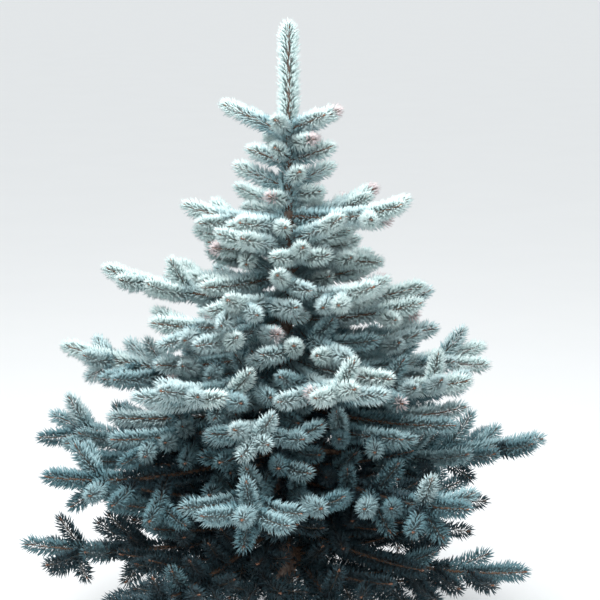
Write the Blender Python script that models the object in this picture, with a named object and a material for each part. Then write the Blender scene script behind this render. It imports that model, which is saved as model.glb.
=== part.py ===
"""Young Colorado blue spruce: a trunk with a root flare, whorls of boughs and the foliage they carry.

Metres, +Z up. The origin is the centre of the flat cut under the trunk. The tree faces -Y, with +X to
the viewer's right. An azimuth is in degrees from +X, anticlockwise seen from above, so 270 faces the
viewer. Every shoot is a brush: a slim core with rings of needles that lean towards its tip.
"""

import math
import random
from dataclasses import dataclass

import bmesh
import bpy
from mathutils import Vector

# Whole tree, and the gap between solids that meet
HEIGHT = 1.12
GAP = 0.0003
UP = Vector((0.0, 0.0, 1.0))

# Trunk, from the flat cut to the bud at its tip
TRUNK_FOOT_RADIUS = 0.0185
TRUNK_TIP_RADIUS = 0.0016
TRUNK_TAPER = 0.92
TRUNK_TIP_BELOW_TOP = 0.012
TRUNK_LEAN = 0.006
TRUNK_SWAY = 0.0035
TRUNK_STEPS = 12
TRUNK_RESOLUTION = 3

# Root flare: toes that run down out of the trunk and into the ground
TOES = 5
TOE_TOP = 0.085
TOE_ROOTED = 0.35
TOE_KNEE_HEIGHT = 0.3
TOE_KNEE_SPREAD = 0.4
TOE_SPREAD = 0.052
TOE_SPREAD_CHANGE = 0.12
TOE_TURN_CHANGE = 20.0
TOE_SINK = 0.006
TOE_RADII = (0.0085, 0.0105, 0.0065)
GROUND_CUT_DEPTH = 0.1

# Shoots: a brush's core, the rings of needles on it, and how they open above its root and close at its tip
LEADER_NAME = "leader_spray"
LEADER_LENGTH = 0.17
LEADER_STEPS = 4
NEEDLE_REACH = 0.021
NEEDLE_LEAN = 0.75
LONGEST_LEAN = 0.97
CORE_RADIUS = 0.0062
CORE_SLOPE = 0.22
CORE_TAPER = 0.3
ROOT_RADIUS = 0.0022
LEADER_CORE_RADIUS = 0.0085
RING_POINTS = 6
RING_SPACING = 0.029
TIP_SHARE = 0.86
TIP_BALL = 0.4
CLOSES_FROM = 0.66
ROUNDING = 0.4
BARE_ROOT = 0.009
LEADER_BARE = 0.002
OPENING_SLOPE = 0.5

# Boughs and the rule by which their side twigs branch
AXIS_STEPS = 16
BOUGH_TURN = 9.0
STAGGER = 0.9
LIFT_POWER = 1.5
LIMB_POINTS = 5
LIMB_BALLS = 16
LIMB_RESOLUTION = 1
LIMB_ROOT_RADIUS = 0.0058
LIMB_TIP_RADIUS = 0.0042
NODE_SPACING = 0.078
ANGLE_SPREAD = 6.0
ROLL_SPREAD = 20.0
LENGTH_SPREAD = 0.12
SIDE_BARE = 0.007
SPRAY_STARTS = 0.02
CLEARANCE = 0.0015


@dataclass(frozen=True)
class Side:
    """A side on which twigs branch: its turn about the bough from the right, and how the twigs grow there.

    A twig opens by angle from the bough. It is as long as base and a share of the bough beyond it, at
    most longest.
    """

    turn: float
    angle: float
    base: float
    share_of_rest: float
    longest: float


SIDES = (
    Side(turn=0, angle=50, base=0.038, share_of_rest=0.5, longest=0.15),
    Side(turn=180, angle=50, base=0.038, share_of_rest=0.5, longest=0.15),
    Side(turn=90, angle=46, base=0.052, share_of_rest=0.14, longest=0.09),
    Side(turn=270, angle=44, base=0.046, share_of_rest=0.12, longest=0.08),
)


@dataclass(frozen=True)
class Whorl:
    """Boughs that leave the trunk at one height, each as its azimuth, its reach and its rise in degrees.

    A bough rises by lift degrees more at its tip than at its root. The first limb_share of it is a bare
    limb. Coarse scales its needles and the spacing of its twigs, where they are larger and fewer than life.
    """

    name: str
    height: float
    lift: float
    limb_share: float
    coarse: float
    boughs: tuple


WHORLS = (
    Whorl("whorl1", 0.932, lift=0, limb_share=0, coarse=1.0, boughs=(
        (170, 0.122, 24), (254, 0.088, 20), (313, 0.094, 20),
        (27, 0.104, 22), (95, 0.1, 22),
    )),
    Whorl("interwhorl1", 0.885, lift=4, limb_share=0, coarse=1.0, boughs=(
        (192, 0.078, 20), (333, 0.09, 18), (248, 0.07, 20),
        (92, 0.074, 20),
    )),
    Whorl("interwhorl2", 0.845, lift=4, limb_share=0, coarse=1.0, boughs=(
        (170, 0.1, 20), (30, 0.095, 16), (285, 0.08, 18),
    )),
    Whorl("whorl2", 0.785, lift=22, limb_share=0, coarse=1.0, boughs=(
        (178, 0.185, 2), (236, 0.15, -2), (318, 0.25, 2),
        (26, 0.175, 9), (104, 0.17, 8),
    )),
    Whorl("interwhorl3", 0.722, lift=8, limb_share=0, coarse=1.0, boughs=(
        (280, 0.15, 16), (146, 0.14, 12), (38, 0.15, 12),
    )),
    Whorl("whorl3", 0.655, lift=24, limb_share=0, coarse=1.0, boughs=(
        (184, 0.315, 2), (246, 0.235, 0), (306, 0.245, 2),
        (352, 0.24, -1), (60, 0.25, 4),
    )),
    Whorl("interwhorl4", 0.588, lift=22, limb_share=0, coarse=1.05, boughs=(
        (274, 0.2, 2), (0, 0.265, -6), (132, 0.17, 4),
    )),
    Whorl("whorl4", 0.525, lift=22, limb_share=0, coarse=1.15, boughs=(
        (178, 0.39, -1), (236, 0.35, -2), (290, 0.33, -2),
        (336, 0.34, -4), (24, 0.4, -8), (112, 0.36, 0),
    )),
    Whorl("whorl5", 0.385, lift=22, limb_share=0.2, coarse=1.3, boughs=(
        (160, 0.46, -5), (210, 0.45, -6), (262, 0.43, -8),
        (312, 0.44, -7), (2, 0.46, -7), (72, 0.44, -4),
    )),
    Whorl("whorl6", 0.24, lift=24, limb_share=0.22, coarse=1.36, boughs=(
        (132, 0.45, -11), (186, 0.46, -11), (236, 0.44, -13),
        (288, 0.43, -12), (336, 0.45, -11), (38, 0.45, -11),
    )),
)

# Colours, linear, as (red, green, blue)
BARK = (0.105, 0.078, 0.064)
FROSTED_NEEDLES = (0.5, 0.62, 0.6)
SHADED_NEEDLES = (0.17, 0.28, 0.29)


@dataclass
class Shoot:
    """A brush of needles along a spine, bare for a while from its root, and rolled about the spine."""

    spine: list
    bare: float
    root_radius: float
    coarse: float = 1.0
    roll: float = 0.0
    girth: float = CORE_RADIUS


@dataclass
class Bough:
    """One bough as it grows: its axis from the trunk, the shoot along that and its side twigs."""

    whorl: Whorl
    number: int
    axis: list
    shoot: Shoot
    twigs: list

    def limb_name(self):
        return f"{self.whorl.name}_bough{self.number}"

    def spray_name(self):
        return f"{self.whorl.name}_spray{self.number}"


@dataclass
class Ball:
    """The space that one ring of needles, or one stretch of wood, fills."""

    owner: str
    centre: Vector
    radius: float


def clear_scene():
    """Removes every object and collection, so that only the tree is left at the end."""
    for obj in list(bpy.data.objects):
        bpy.data.objects.remove(obj, do_unlink=True)
    for collection in list(bpy.data.collections):
        bpy.data.collections.remove(collection)


def new_collection(name):
    collection = bpy.data.collections.new(name)
    bpy.context.scene.collection.children.link(collection)
    return collection


def finish_of(name, colour, roughness):
    """A Principled BSDF of one colour."""
    material = bpy.data.materials.new(name)
    material.use_nodes = True
    shader = material.node_tree.nodes["Principled BSDF"]
    shader.inputs["Base Color"].default_value = (*colour, 1.0)
    shader.inputs["Roughness"].default_value = roughness
    shader.inputs["Metallic"].default_value = 0.0
    return material


def mixed(first, second, share):
    """The colour that lies share of the way from the first to the second."""
    return tuple(a + (b - a) * share for a, b in zip(first, second))


def heading_of(azimuth, rise):
    """Unit vector at an azimuth and a rise above the horizontal, in degrees."""
    turn, tilt = math.radians(azimuth), math.radians(rise)
    return Vector((math.cos(turn) * math.cos(tilt), math.sin(turn) * math.cos(tilt), math.sin(tilt)))


def at_share(points, share):
    """The point that lies share of the way along evenly spaced points."""
    place = min(max(share, 0.0), 1.0) * (len(points) - 1)
    index = min(int(place), len(points) - 2)
    return points[index].lerp(points[index + 1], place - index)


def heading_at(points, share):
    """Unit direction of travel at that share of the points."""
    step = 0.5 / (len(points) - 1)
    return (at_share(points, share + step) - at_share(points, share - step)).normalized()


def length_of(points):
    return sum((b - a).length for a, b in zip(points, points[1:]))


def across(heading):
    """Two unit vectors square to a heading: one to its right and level, and one above it."""
    reference = UP if abs(heading.z) < 0.9 else Vector((0.0, -1.0, 0.0))
    right = heading.cross(reference).normalized()
    return right, right.cross(heading)


def trunk_centre(height):
    """The trunk's middle at a height: it leans a little, and sways once on its way up."""
    share = height / HEIGHT
    sway = TRUNK_SWAY * math.sin(math.tau * share)
    return Vector((TRUNK_LEAN * share**2 - sway, 0.6 * sway, height))


def trunk_radius(height):
    share = min(max(height / HEIGHT, 0.0), 1.0)
    return TRUNK_TIP_RADIUS + (TRUNK_FOOT_RADIUS - TRUNK_TIP_RADIUS) * (1.0 - share) ** TRUNK_TAPER


def mesh_object(name, mesh, collection):
    obj = bpy.data.objects.new(name, mesh)
    collection.objects.link(obj)
    return obj


def tapering_tube(name, points, radii, resolution, collection):
    """A closed tube along the points, with its own radius at each, as a mesh object."""
    curve = bpy.data.curves.new(name, "CURVE")
    curve.dimensions = "3D"
    curve.bevel_depth = 1.0
    curve.bevel_resolution = resolution
    curve.use_fill_caps = True
    spline = curve.splines.new("POLY")
    spline.points.add(len(points) - 1)
    for knot, point, radius in zip(spline.points, points, radii):
        knot.co = (*point, 1.0)
        knot.radius = radius
    guide = mesh_object(name + "_guide", curve, collection)
    bpy.context.view_layer.update()
    mesh = bpy.data.meshes.new_from_object(guide.evaluated_get(bpy.context.evaluated_depsgraph_get()))
    mesh.name = name
    bpy.data.objects.remove(guide, do_unlink=True)
    shape = bmesh.new()
    shape.from_mesh(mesh)
    bmesh.ops.remove_doubles(shape, verts=shape.verts, dist=1e-6)
    bmesh.ops.recalc_face_normals(shape, faces=shape.faces)
    shape.to_mesh(mesh)
    shape.free()
    return mesh_object(name, mesh, collection)


def apply_modifiers(obj):
    """Leaves the object with the mesh that its modifiers give."""
    bpy.context.view_layer.update()
    evaluated = obj.evaluated_get(bpy.context.evaluated_depsgraph_get())
    obj.data = bpy.data.meshes.new_from_object(evaluated)
    obj.modifiers.clear()


def boolean(obj, operation, other):
    """Joins or cuts the object with another object, or with all of a collection, and applies it."""
    modifier = obj.modifiers.new(operation.lower(), "BOOLEAN")
    modifier.operation = operation
    modifier.solver = "EXACT"
    if isinstance(other, bpy.types.Collection):
        modifier.operand_type = "COLLECTION"
        modifier.collection = other
    else:
        modifier.object = other
    apply_modifiers(obj)


def islands(shape):
    """The surfaces of a bmesh, each the set of faces that meet two by two along their edges."""
    left = set(shape.faces)
    while left:
        found, rim = set(), {left.pop()}
        while rim:
            found |= rim
            shared = {edge for face in rim for edge in face.edges if len(edge.link_faces) == 2}
            rim = {face for edge in shared for face in edge.link_faces} - found
        left -= found
        yield found


def keep_body(obj):
    """Keeps the object's outer surface: hollows that a union sealed are filled, and loose scraps dropped."""
    shape = bmesh.new()
    shape.from_mesh(obj.data)
    bmesh.ops.triangulate(shape, faces=shape.faces)
    body = max(islands(shape), key=len)
    bmesh.ops.delete(shape, geom=[face for face in shape.faces if face not in body], context="FACES")
    shape.to_mesh(obj.data)
    shape.free()


def join_all(obj, helpers):
    """Unites the object with the helpers' collection, whose objects are then removed."""
    if helpers.objects:
        boolean(obj, "UNION", helpers)
        keep_body(obj)
    for helper in list(helpers.objects):
        bpy.data.objects.remove(helper, do_unlink=True)


def trunk_spine(extra, lowest):
    """Points and radii of the trunk, thicker all round by extra, from a lowest height up."""
    top = HEIGHT - TRUNK_TIP_BELOW_TOP + extra
    heights = [lowest + (top - lowest) * step / TRUNK_STEPS for step in range(TRUNK_STEPS + 1)]
    return [trunk_centre(height) for height in heights], [trunk_radius(height) + extra for height in heights]


def make_trunk(collection, helpers, finish):
    """The trunk with its root toes, cut flat at ground level."""
    trunk = tapering_tube("trunk", *trunk_spine(0.0, -GROUND_CUT_DEPTH / 2), TRUNK_RESOLUTION, collection)
    seeded = random.Random("toes")
    for toe in range(TOES):
        turn = seeded.uniform(-TOE_TURN_CHANGE, TOE_TURN_CHANGE)
        outward = heading_of(360 * toe / TOES + turn, 0)
        spread = TOE_SPREAD * (1 + seeded.uniform(-TOE_SPREAD_CHANGE, TOE_SPREAD_CHANGE))
        spine = [
            trunk_centre(TOE_TOP) + TOE_ROOTED * trunk_radius(TOE_TOP) * outward,
            trunk_centre(TOE_KNEE_HEIGHT * TOE_TOP) + TOE_KNEE_SPREAD * spread * outward,
            trunk_centre(0.0) + spread * outward - TOE_SINK * UP,
        ]
        tapering_tube(f"toe{toe}", spine, TOE_RADII, LIMB_RESOLUTION, helpers)
    join_all(trunk, helpers)
    ground = bmesh.new()
    bmesh.ops.create_cube(ground, size=GROUND_CUT_DEPTH * 2)
    bmesh.ops.translate(ground, verts=ground.verts, vec=-GROUND_CUT_DEPTH * UP)
    mesh = bpy.data.meshes.new("ground_cutter")
    ground.to_mesh(mesh)
    ground.free()
    cutter = mesh_object("ground_cutter", mesh, helpers)
    boolean(trunk, "DIFFERENCE", cutter)
    bpy.data.objects.remove(cutter, do_unlink=True)
    trunk.data.materials.append(finish)
    return trunk


def make_clearance(helpers):
    """A trunk that is thicker by the gap, to cut what grows on it clear of it."""
    cutter = tapering_tube("trunk_clearance", *trunk_spine(GAP, 0.0), TRUNK_RESOLUTION, helpers)
    cutter.hide_render = True
    cutter.display_type = "WIRE"
    return cutter


def core_radius(shoot, share):
    """The core thickens above the root and then tapers to the tip."""
    thickened = shoot.root_radius + CORE_SLOPE * share * length_of(shoot.spine)
    return min(thickened, shoot.girth * (1 - CORE_TAPER * share))


def needle_radius(shoot, share):
    """How far the needles reach from the spine: they open out above the root and close at the tip."""
    core = core_radius(shoot, share)
    opened = core + OPENING_SLOPE * (share * length_of(shoot.spine) - shoot.bare)
    closing = max(share - CLOSES_FROM, 0.0) / (1.0 - CLOSES_FROM)
    return max(core, min(opened, shoot.coarse * NEEDLE_REACH * (1 - ROUNDING * closing**2)))


def ring_shares(shoot):
    """Shares of the spine at which rings of needles stand."""
    rings = max(2, round(length_of(shoot.spine) * TIP_SHARE / (shoot.coarse * RING_SPACING)))
    return [TIP_SHARE * ring / rings for ring in range(rings + 1)]


def needle_brush(name, shoot, collection):
    """A shoot along its spine, drawn out of a sphere whose points become needles by turns.

    The sphere's first pole and ring lie level with the root, which makes its end face flat.
    """
    shares = ring_shares(shoot)
    length = length_of(shoot.spine)
    last = len(shares) + 1
    shape = bmesh.new()
    bmesh.ops.create_uvsphere(shape, u_segments=RING_POINTS, v_segments=last, radius=1.0)
    for vert in shape.verts:
        ring = round(math.acos(max(-1.0, min(1.0, -vert.co.z))) / math.pi * last)
        column = round(math.atan2(vert.co.y, vert.co.x) / math.tau * RING_POINTS)
        share = 1.0 if ring == last else shares[max(ring, 1) - 1]
        radius = core = 0.0 if ring in (0, last) else core_radius(shoot, share)
        if core and (ring + column) % 2:
            radius = needle_radius(shoot, share)
        lean = min(NEEDLE_LEAN * (radius - core), LONGEST_LEAN * (1 - share) * length)
        right, above = across(heading_at(shoot.spine, share))
        turn = math.tau * column / RING_POINTS + shoot.roll
        outward = radius * (math.cos(turn) * right + math.sin(turn) * above)
        vert.co = at_share(shoot.spine, share) + outward + lean * heading_at(shoot.spine, share)
    mesh = bpy.data.meshes.new(name)
    bmesh.ops.recalc_face_normals(shape, faces=shape.faces)
    shape.to_mesh(mesh)
    shape.free()
    return mesh_object(name, mesh, collection)


def shoot_balls(owner, shoot):
    """The space of a shoot, ring by ring, up to its tip."""
    length = length_of(shoot.spine)
    shares = (*ring_shares(shoot), 1 - TIP_BALL * NEEDLE_REACH / length)
    return [Ball(owner, at_share(shoot.spine, share), needle_radius(shoot, share)) for share in shares]


def limb_balls(bough):
    """The space of a bough's limb."""
    points = part_of(bough.axis, 0.0, bough.whorl.limb_share, LIMB_BALLS)
    return [Ball(bough.limb_name(), point, LIMB_ROOT_RADIUS) for point in points]


def clear_of(balls, others):
    """True if no ball of the first list comes within the clearance of one of the second."""
    return all(
        (ball.centre - other.centre).length > ball.radius + other.radius + CLEARANCE
        for ball in balls
        for other in others
    )


def part_of(points, first, last, count):
    """Evenly spaced points along a part of a spine, between two shares of it."""
    return [at_share(points, first + (last - first) * index / (count - 1)) for index in range(count)]


def bough_axis(whorl, index, seeded):
    """Evenly spaced points along a bough's own axis, from the middle of the trunk to its tip."""
    azimuth, reach, rise = whorl.boughs[index]
    turn = seeded.uniform(-BOUGH_TURN, BOUGH_TURN)
    points = [Vector()]
    for step in range(AXIS_STEPS):
        share = (step + 0.5) / AXIS_STEPS
        heading = heading_of(azimuth + turn * (share - 0.5), rise + whorl.lift * share**LIFT_POWER)
        points.append(points[-1] + heading)
    scale = reach / points[-1].xy.length
    root = trunk_centre(whorl.height + STAGGER * trunk_radius(whorl.height) * (index % 3 - 1))
    return [root + scale * point for point in points]


def side_twigs(whorl, axis, seeded):
    """The twigs that branch from a bough's axis, one on each side of each of its nodes beyond the limb."""
    length = length_of(axis)
    nodes = round(length / (NODE_SPACING * whorl.coarse))
    for node in range(nodes - 1, 0, -1):
        share = node / nodes
        heading = heading_at(axis, share)
        right, above = across(heading)
        rest = (1 - share) * length
        for side in SIDES:
            turned = math.radians(side.turn + seeded.uniform(-ROLL_SPREAD, ROLL_SPREAD))
            opened = math.radians(side.angle + seeded.uniform(-ANGLE_SPREAD, ANGLE_SPREAD))
            reach = min(side.base * whorl.coarse + side.share_of_rest * rest, side.longest * whorl.coarse)
            reach *= 1 + seeded.uniform(-LENGTH_SPREAD, LENGTH_SPREAD)
            outward = math.cos(turned) * right + math.sin(turned) * above
            root = at_share(axis, share)
            tip = root + reach * (math.cos(opened) * heading + math.sin(opened) * outward)
            if share > whorl.limb_share + SPRAY_STARTS:
                yield Shoot([root, tip], SIDE_BARE, ROOT_RADIUS, whorl.coarse, share)


def leader_shoot():
    """The shoot round the top of the trunk."""
    foot = HEIGHT - LEADER_LENGTH
    spine = [trunk_centre(foot + LEADER_LENGTH * step / LEADER_STEPS) for step in range(LEADER_STEPS + 1)]
    return Shoot(spine, LEADER_BARE, LEADER_CORE_RADIUS, girth=LEADER_CORE_RADIUS)


def grow_bough(whorl, index):
    """One bough by the branching rule: its axis, the shoot along it beyond the limb, and its twigs."""
    seeded = random.Random(f"{whorl.name}-{index}")
    axis = bough_axis(whorl, index, seeded)
    if whorl.limb_share:
        start = whorl.limb_share + GAP / length_of(axis)
        bare, root_radius = BARE_ROOT, LIMB_TIP_RADIUS
    else:
        start = 0.0
        bare, root_radius = trunk_radius(axis[0].z) + BARE_ROOT, ROOT_RADIUS
    shoot = Shoot(part_of(axis, start, 1.0, AXIS_STEPS + 1), bare, root_radius, whorl.coarse)
    return Bough(whorl, index + 1, axis, shoot, list(side_twigs(whorl, axis, seeded)))


def make_leader(shoot, collection, clearance, finish):
    """The needles round the top of the trunk, cut clear of it."""
    leader = needle_brush(LEADER_NAME, shoot, collection)
    boolean(leader, "DIFFERENCE", clearance)
    leader.data.materials.append(finish)


def make_limb(bough, collection, clearance, finish):
    """A bough's bare inner stretch, one tapering limb from the trunk to its foliage."""
    points = part_of(bough.axis, 0.0, bough.whorl.limb_share, LIMB_POINTS)
    radii = [
        LIMB_ROOT_RADIUS + (LIMB_TIP_RADIUS - LIMB_ROOT_RADIUS) * index / (LIMB_POINTS - 1)
        for index in range(LIMB_POINTS)
    ]
    limb = tapering_tube(bough.limb_name(), points, radii, LIMB_RESOLUTION, collection)
    boolean(limb, "DIFFERENCE", clearance)
    limb.data.materials.append(finish)


def make_spray(bough, placed, collection, helpers, clearance, finish):
    """A bough's foliage as one solid: the shoot along its axis, and the side twigs that have room."""
    name = bough.spray_name()
    spray = needle_brush(name, bough.shoot, collection)
    own = shoot_balls(name, bough.shoot)
    others = [ball for ball in placed if ball.owner not in (name, bough.limb_name())]
    for index, twig in enumerate(bough.twigs):
        balls = shoot_balls(name, twig)
        outer = balls[len(balls) // 2 + 1 :]
        if clear_of(balls, others) and clear_of(outer, own):
            needle_brush(f"{name}_twig{index}", twig, helpers)
            own += balls
            placed += balls
    join_all(spray, helpers)
    if not bough.whorl.limb_share:
        boolean(spray, "DIFFERENCE", clearance)
    spray.data.materials.clear()
    spray.data.materials.append(finish)


def main():
    clear_scene()
    tree = new_collection("blue_spruce")
    helpers = new_collection("helpers")
    cutters = new_collection("cutters")
    bark = finish_of("bark", BARK, 0.85)
    make_trunk(tree, helpers, bark)
    clearance = make_clearance(cutters)
    leader = leader_shoot()
    make_leader(leader, tree, clearance, finish_of("leader_needles", FROSTED_NEEDLES, 0.6))
    boughs = [grow_bough(whorl, index) for whorl in WHORLS for index in range(len(whorl.boughs))]
    placed = shoot_balls(LEADER_NAME, leader)
    for bough in boughs:
        placed += shoot_balls(bough.spray_name(), bough.shoot)
        if bough.whorl.limb_share:
            placed += limb_balls(bough)
            make_limb(bough, tree, clearance, bark)
    for tier, whorl in enumerate(WHORLS):
        shade = mixed(FROSTED_NEEDLES, SHADED_NEEDLES, tier / (len(WHORLS) - 1))
        finish = finish_of(f"{whorl.name}_needles", shade, 0.6)
        for bough in boughs:
            if bough.whorl is whorl:
                make_spray(bough, placed, tree, helpers, clearance, finish)


main()
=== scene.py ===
"""Dresses a young Colorado blue spruce: bark in relief, finer twigs, buds and needles over its solids.

Metres, +Z up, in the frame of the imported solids. Boughs and side twigs grow by the rule that the solids
follow, from the same seeds, and go on to finer twigs within the same reach.
"""

import logging
import math
import random
from collections.abc import Iterator
from dataclasses import dataclass, field
from enum import Enum

import bpy
import numpy as np
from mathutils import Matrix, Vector


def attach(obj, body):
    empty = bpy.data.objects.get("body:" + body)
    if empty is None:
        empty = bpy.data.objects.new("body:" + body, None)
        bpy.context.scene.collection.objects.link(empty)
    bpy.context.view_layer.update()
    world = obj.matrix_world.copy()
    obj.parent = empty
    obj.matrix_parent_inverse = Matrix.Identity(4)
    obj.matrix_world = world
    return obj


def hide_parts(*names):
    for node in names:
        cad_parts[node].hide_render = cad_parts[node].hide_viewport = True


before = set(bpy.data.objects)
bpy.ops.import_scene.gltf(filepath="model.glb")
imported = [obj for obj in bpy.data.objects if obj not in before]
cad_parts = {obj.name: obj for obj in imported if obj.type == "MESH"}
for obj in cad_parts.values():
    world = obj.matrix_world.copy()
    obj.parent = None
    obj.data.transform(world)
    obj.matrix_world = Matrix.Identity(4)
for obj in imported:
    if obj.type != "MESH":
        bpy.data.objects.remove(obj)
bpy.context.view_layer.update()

LOG = logging.getLogger("blue_spruce")
BODY = "root"
MM = 0.001
UP = np.array([0.0, 0.0, 1.0])
FRONT = np.array([0.0, -1.0, 0.0])

# A heading steeper than this has no clear side, so its sides are taken from the front
STEEP = 0.9

# The tree's own height and trunk, as the solids have them
HEIGHT = 1.12
TRUNK_LEAN = 0.006
TRUNK_SWAY = 0.0035
TRUNK_SWAY_BACK = 0.6
TRUNK_FOOT_RADIUS = 0.0185
TRUNK_TIP_RADIUS = 0.0016
TRUNK_TAPER = 0.92
LEADER_FOOT = 0.95

# Needles stand out of a shoot at the golden angle, one after the other
GOLDEN_ANGLE = math.pi * (3.0 - math.sqrt(5.0))
NEEDLE_POINTS = 4
NEEDLE_FACES = 4
FACES_IN_A_PIECE = 190_000

# The most places that shoots can hold
MOST_PLACES = 60_000

# The sRGB curve is straight up to its knee, and a power beyond it
SRGB_KNEE = 0.04045
SRGB_SLOPE = 12.92
SRGB_OFFSET = 0.055
SRGB_POWER = 2.4

# A twig's root and its tip
Ends = tuple[np.ndarray, np.ndarray]


def linear(hex_colour: str) -> tuple[float, float, float, float]:
    """Turns an sRGB hex colour to linear.

    Args:
        hex_colour: Six hex digits after a hash sign.

    Returns:
        Red, green, blue and an alpha of one.
    """
    channels = [int(hex_colour[place : place + 2], 16) / 255 for place in (1, 3, 5)]
    curved = [
        c / SRGB_SLOPE if c <= SRGB_KNEE else ((c + SRGB_OFFSET) / (1 + SRGB_OFFSET)) ** SRGB_POWER
        for c in channels
    ]
    return (*curved, 1.0)


def per_metre(size_mm: float) -> float:
    """The scale of a pattern whose features are that many millimetres apart."""
    return 1.0 / (size_mm * MM)


def unit(vectors: np.ndarray) -> np.ndarray:
    """The vectors, each brought to a length of one."""
    return vectors / np.linalg.norm(vectors, axis=-1, keepdims=True)


def heading_of(azimuth: float, rise: float) -> np.ndarray:
    """Unit vector at an azimuth and a rise above the horizontal, in degrees."""
    turn, tilt = math.radians(azimuth), math.radians(rise)
    return np.array([math.cos(turn) * math.cos(tilt), math.sin(turn) * math.cos(tilt), math.sin(tilt)])


def across(headings: np.ndarray) -> tuple[np.ndarray, np.ndarray]:
    """Finds the two directions square to each heading.

    Args:
        headings: Unit vectors, one a row.

    Returns:
        A level unit vector to the right of each heading, and one above it.
    """
    reference = np.where(np.abs(headings[..., 2:]) >= STEEP, FRONT, UP)
    right = unit(np.cross(headings, reference))
    return right, np.cross(right, headings)


def branching(heading: np.ndarray, turned: float, opened: float) -> np.ndarray:
    """Finds the way that a twig takes off its parent.

    Args:
        heading: The parent's direction there.
        turned: The twig's turn about the parent from the right, in degrees.
        opened: The twig's angle from the parent, in degrees.

    Returns:
        The twig's own direction, a unit vector.
    """
    right, above = across(heading)
    turn, angle = math.radians(turned), math.radians(opened)
    outward = math.cos(turn) * right + math.sin(turn) * above
    return math.cos(angle) * heading + math.sin(angle) * outward


def placed_round(number: int, level: int, count: int) -> float:
    """The azimuth of one of so many places round the trunk, half a step on at every second level."""
    return 360 * (number + 0.5 * (level % 2)) / count


def trunk_centre(height: float) -> np.ndarray:
    """Finds the trunk's middle: it leans a little, and sways once on its way up.

    Args:
        height: The height above the ground.

    Returns:
        The place of the trunk's middle.
    """
    share = height / HEIGHT
    sway = TRUNK_SWAY * math.sin(math.tau * share)
    return np.array([TRUNK_LEAN * share**2 - sway, TRUNK_SWAY_BACK * sway, height])


def trunk_radius(height: float) -> float:
    """The trunk's radius at a height."""
    share = min(max(height / HEIGHT, 0.0), 1.0)
    return TRUNK_TIP_RADIUS + (TRUNK_FOOT_RADIUS - TRUNK_TIP_RADIUS) * (1.0 - share) ** TRUNK_TAPER


@dataclass(frozen=True)
class Surface:
    """A mesh as arrays: its points, and the three corners of each face."""

    points: np.ndarray
    faces: np.ndarray


def joined(surfaces: list[Surface]) -> Surface:
    """Joins surfaces into one.

    Args:
        surfaces: The surfaces, each with corners numbered from its own first point.

    Returns:
        One surface with the corners numbered anew.
    """
    starts = np.cumsum([0] + [len(surface.points) for surface in surfaces[:-1]])
    points = np.concatenate([surface.points for surface in surfaces])
    faces = np.concatenate([surface.faces + start for surface, start in zip(surfaces, starts)])
    return Surface(points, faces)


def wrapped(rings: np.ndarray) -> Surface:
    """Draws a skin over rings of points and shuts both its ends.

    Args:
        rings: Points by ring and column, anticlockwise as seen from the last ring's end.

    Returns:
        A closed surface that faces out.
    """
    count, columns = rings.shape[:2]
    ends = [rings[:1].mean(axis=1), rings[-1:].mean(axis=1)]
    points = np.concatenate([rings.reshape(-1, 3), *ends])
    around = np.arange(columns)
    beside = (around + 1) % columns
    start = np.arange(count - 1)[:, None] * columns
    here, there = start + around, start + beside
    sides = [
        np.stack([here, there, there + columns], -1),
        np.stack([here, there + columns, here + columns], -1),
    ]
    last = (count - 1) * columns
    foot, top = np.full(columns, count * columns), np.full(columns, count * columns + 1)
    caps = [
        np.stack([foot, beside, around], -1),
        np.stack([top, last + around, last + beside], -1),
    ]
    return Surface(points, np.concatenate([side.reshape(-1, 3) for side in sides] + caps))


def mesh_piece(name: str, surface: Surface, finish: bpy.types.Material, slot: str) -> bpy.types.Object:
    """Makes a piece of the tree that rides on its body.

    Args:
        name: The piece's name.
        surface: Its mesh.
        finish: Its material.
        slot: The record's material slot; not used.

    Returns:
        The piece, in the scene's collection.
    """
    mesh = bpy.data.meshes.new(name)
    count = len(surface.faces)
    mesh.vertices.add(len(surface.points))
    mesh.vertices.foreach_set("co", surface.points.astype(np.float32).ravel())
    mesh.loops.add(3 * count)
    mesh.loops.foreach_set("vertex_index", surface.faces.astype(np.int32).ravel())
    mesh.polygons.add(count)
    mesh.polygons.foreach_set("loop_start", np.arange(0, 3 * count, 3, dtype=np.int32))
    mesh.update(calc_edges=True)
    mesh.validate()
    mesh.shade_smooth()
    mesh.materials.append(finish)
    piece = bpy.data.objects.new(name, mesh)
    bpy.context.scene.collection.objects.link(piece)
    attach(piece, BODY)
    LOG.info("%s: %d faces", name, count)
    return piece


def add_node(
    tree: bpy.types.NodeTree,
    kind: str,
    settings: dict[str, object] | None = None,
    links: dict[str, bpy.types.NodeSocket] | None = None,
    **attributes: object,
) -> bpy.types.Node:
    """Adds a node to a material.

    Args:
        tree: The material's node tree.
        kind: The node's type.
        settings: Values for its input sockets, by name.
        links: Output sockets that feed its inputs, by name.
        attributes: Values for the node's own properties.

    Returns:
        The node.
    """
    node = tree.nodes.new(kind)
    for name, value in attributes.items():
        setattr(node, name, value)
    for name, value in (settings or {}).items():
        node.inputs[name].default_value = value
    for name, source in (links or {}).items():
        tree.links.new(source, node.inputs[name])
    return node


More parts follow.
